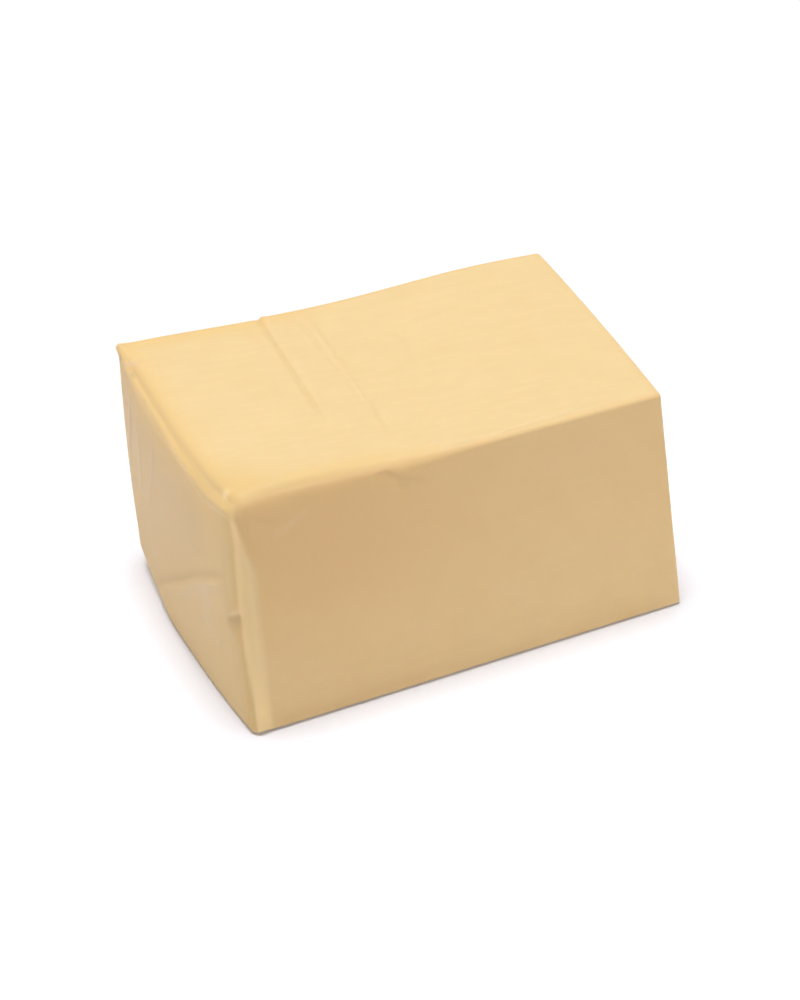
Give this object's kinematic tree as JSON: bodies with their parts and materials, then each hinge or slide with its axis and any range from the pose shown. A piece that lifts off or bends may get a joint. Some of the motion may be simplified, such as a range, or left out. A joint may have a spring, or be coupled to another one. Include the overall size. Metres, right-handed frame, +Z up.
{
  "type": "mozzarella block",
  "caption": "Rectangular block of pale yellow low-moisture mozzarella in tight clear film, swollen at its folded end, standing on its base.",
  "frame": {"origin": "on the ground, in the middle of the box that the block takes up", "axes": "+X along the block, from the folded, swollen end to the plain end; +Z up; the long side with the softened top edge faces -Y"},
  "size_m": [0.1374, 0.1034, 0.0773],
  "materials": {
    "cheese": "satin"
  },
  "bodies": {
    "root": {"mozzarella_block": "cheese"}
  },
  "joints": []
}
